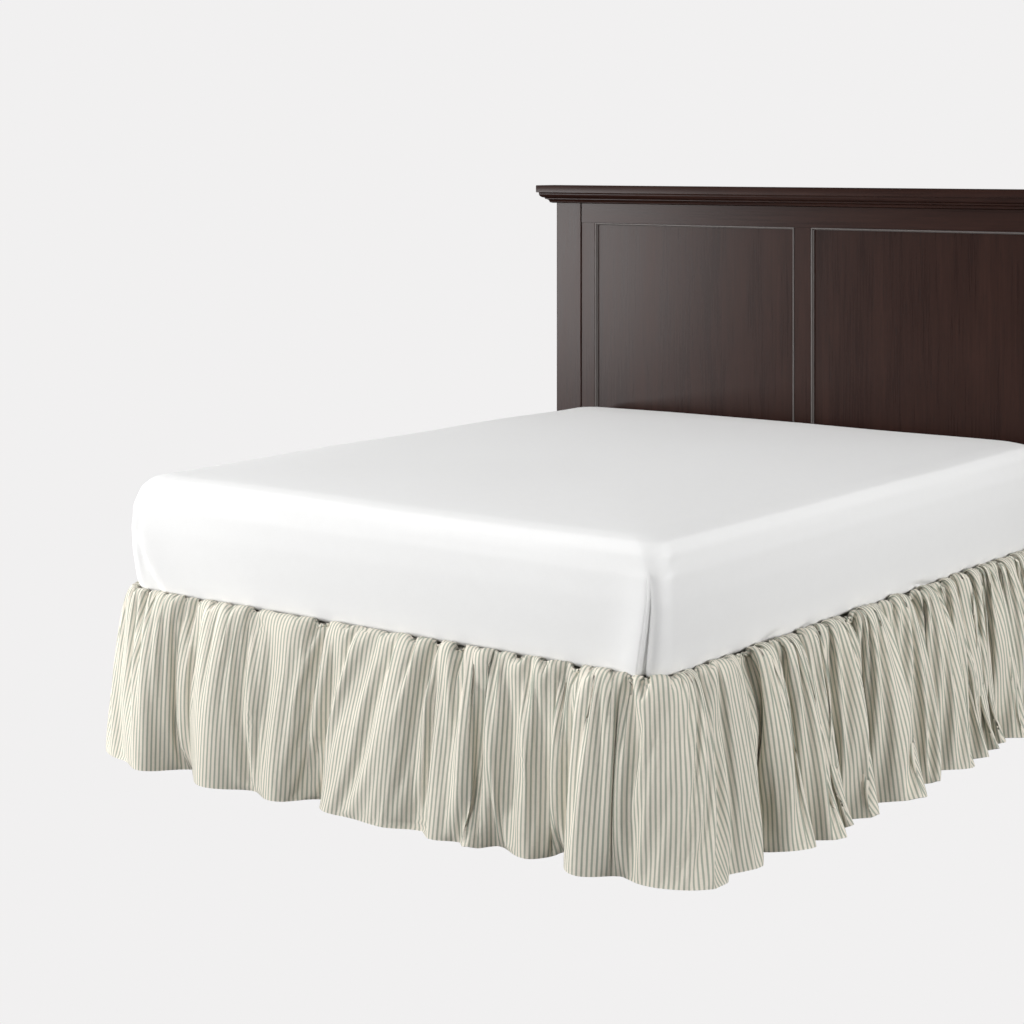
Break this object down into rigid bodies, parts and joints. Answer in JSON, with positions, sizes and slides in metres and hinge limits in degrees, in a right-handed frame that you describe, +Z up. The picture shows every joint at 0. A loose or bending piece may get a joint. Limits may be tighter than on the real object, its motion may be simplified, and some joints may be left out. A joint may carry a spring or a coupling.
{
  "type": "bed skirt on bed",
  "caption": "Gathered striped bed skirt hanging from its deck round a queen bed with mattress, box spring, steel frame and panelled headboard.",
  "frame": {"origin": "middle of the whole object's footprint, on the floor", "axes": "+X to the right seen from the foot of the bed, +Y towards the headboard, +Z up"},
  "size_m": [1.954, 2.258, 1.386],
  "materials": {
    "ticking": "plain-woven cotton ticking, fine sage and beige stripes on cream, matte",
    "deck_cloth": "plain off-white cotton, matte",
    "sheet": "white cotton fitted sheet, matte",
    "box_cloth": "woven off-white border cloth, matte",
    "espresso": "dark espresso stain, satin lacquer, straight grain",
    "steel": "black powder coat",
    "glide_plastic": "moulded, matte"
  },
  "bodies": {
    "root": {"ruffle": "ticking", "deck": "deck_cloth", "mattress": "sheet", "box_spring": "box_cloth", "headboard_post_left": "espresso", "headboard_post_right": "espresso", "headboard_stile_left": "espresso", "headboard_stile_right": "espresso", "headboard_mid_stile": "espresso", "headboard_panel_left": "espresso", "headboard_panel_right": "espresso", "headboard_top_rail": "espresso", "headboard_bottom_rail": "espresso", "headboard_cornice": "espresso", "frame_rail_left": "steel", "frame_rail_right": "steel", "headboard_bracket_left": "steel", "headboard_bracket_right": "steel", "frame_cross_foot": "steel", "frame_cross_middle": "steel", "frame_cross_head": "steel", "frame_leg_foot_left": "steel", "frame_leg_foot_right": "steel", "frame_leg_head_left": "steel", "frame_leg_head_right": "steel", "frame_leg_centre": "steel", "glide_foot_left": "glide_plastic", "glide_foot_right": "glide_plastic", "glide_head_left": "glide_plastic", "glide_head_right": "glide_plastic", "glide_centre": "glide_plastic"}
  },
  "joints": []
}
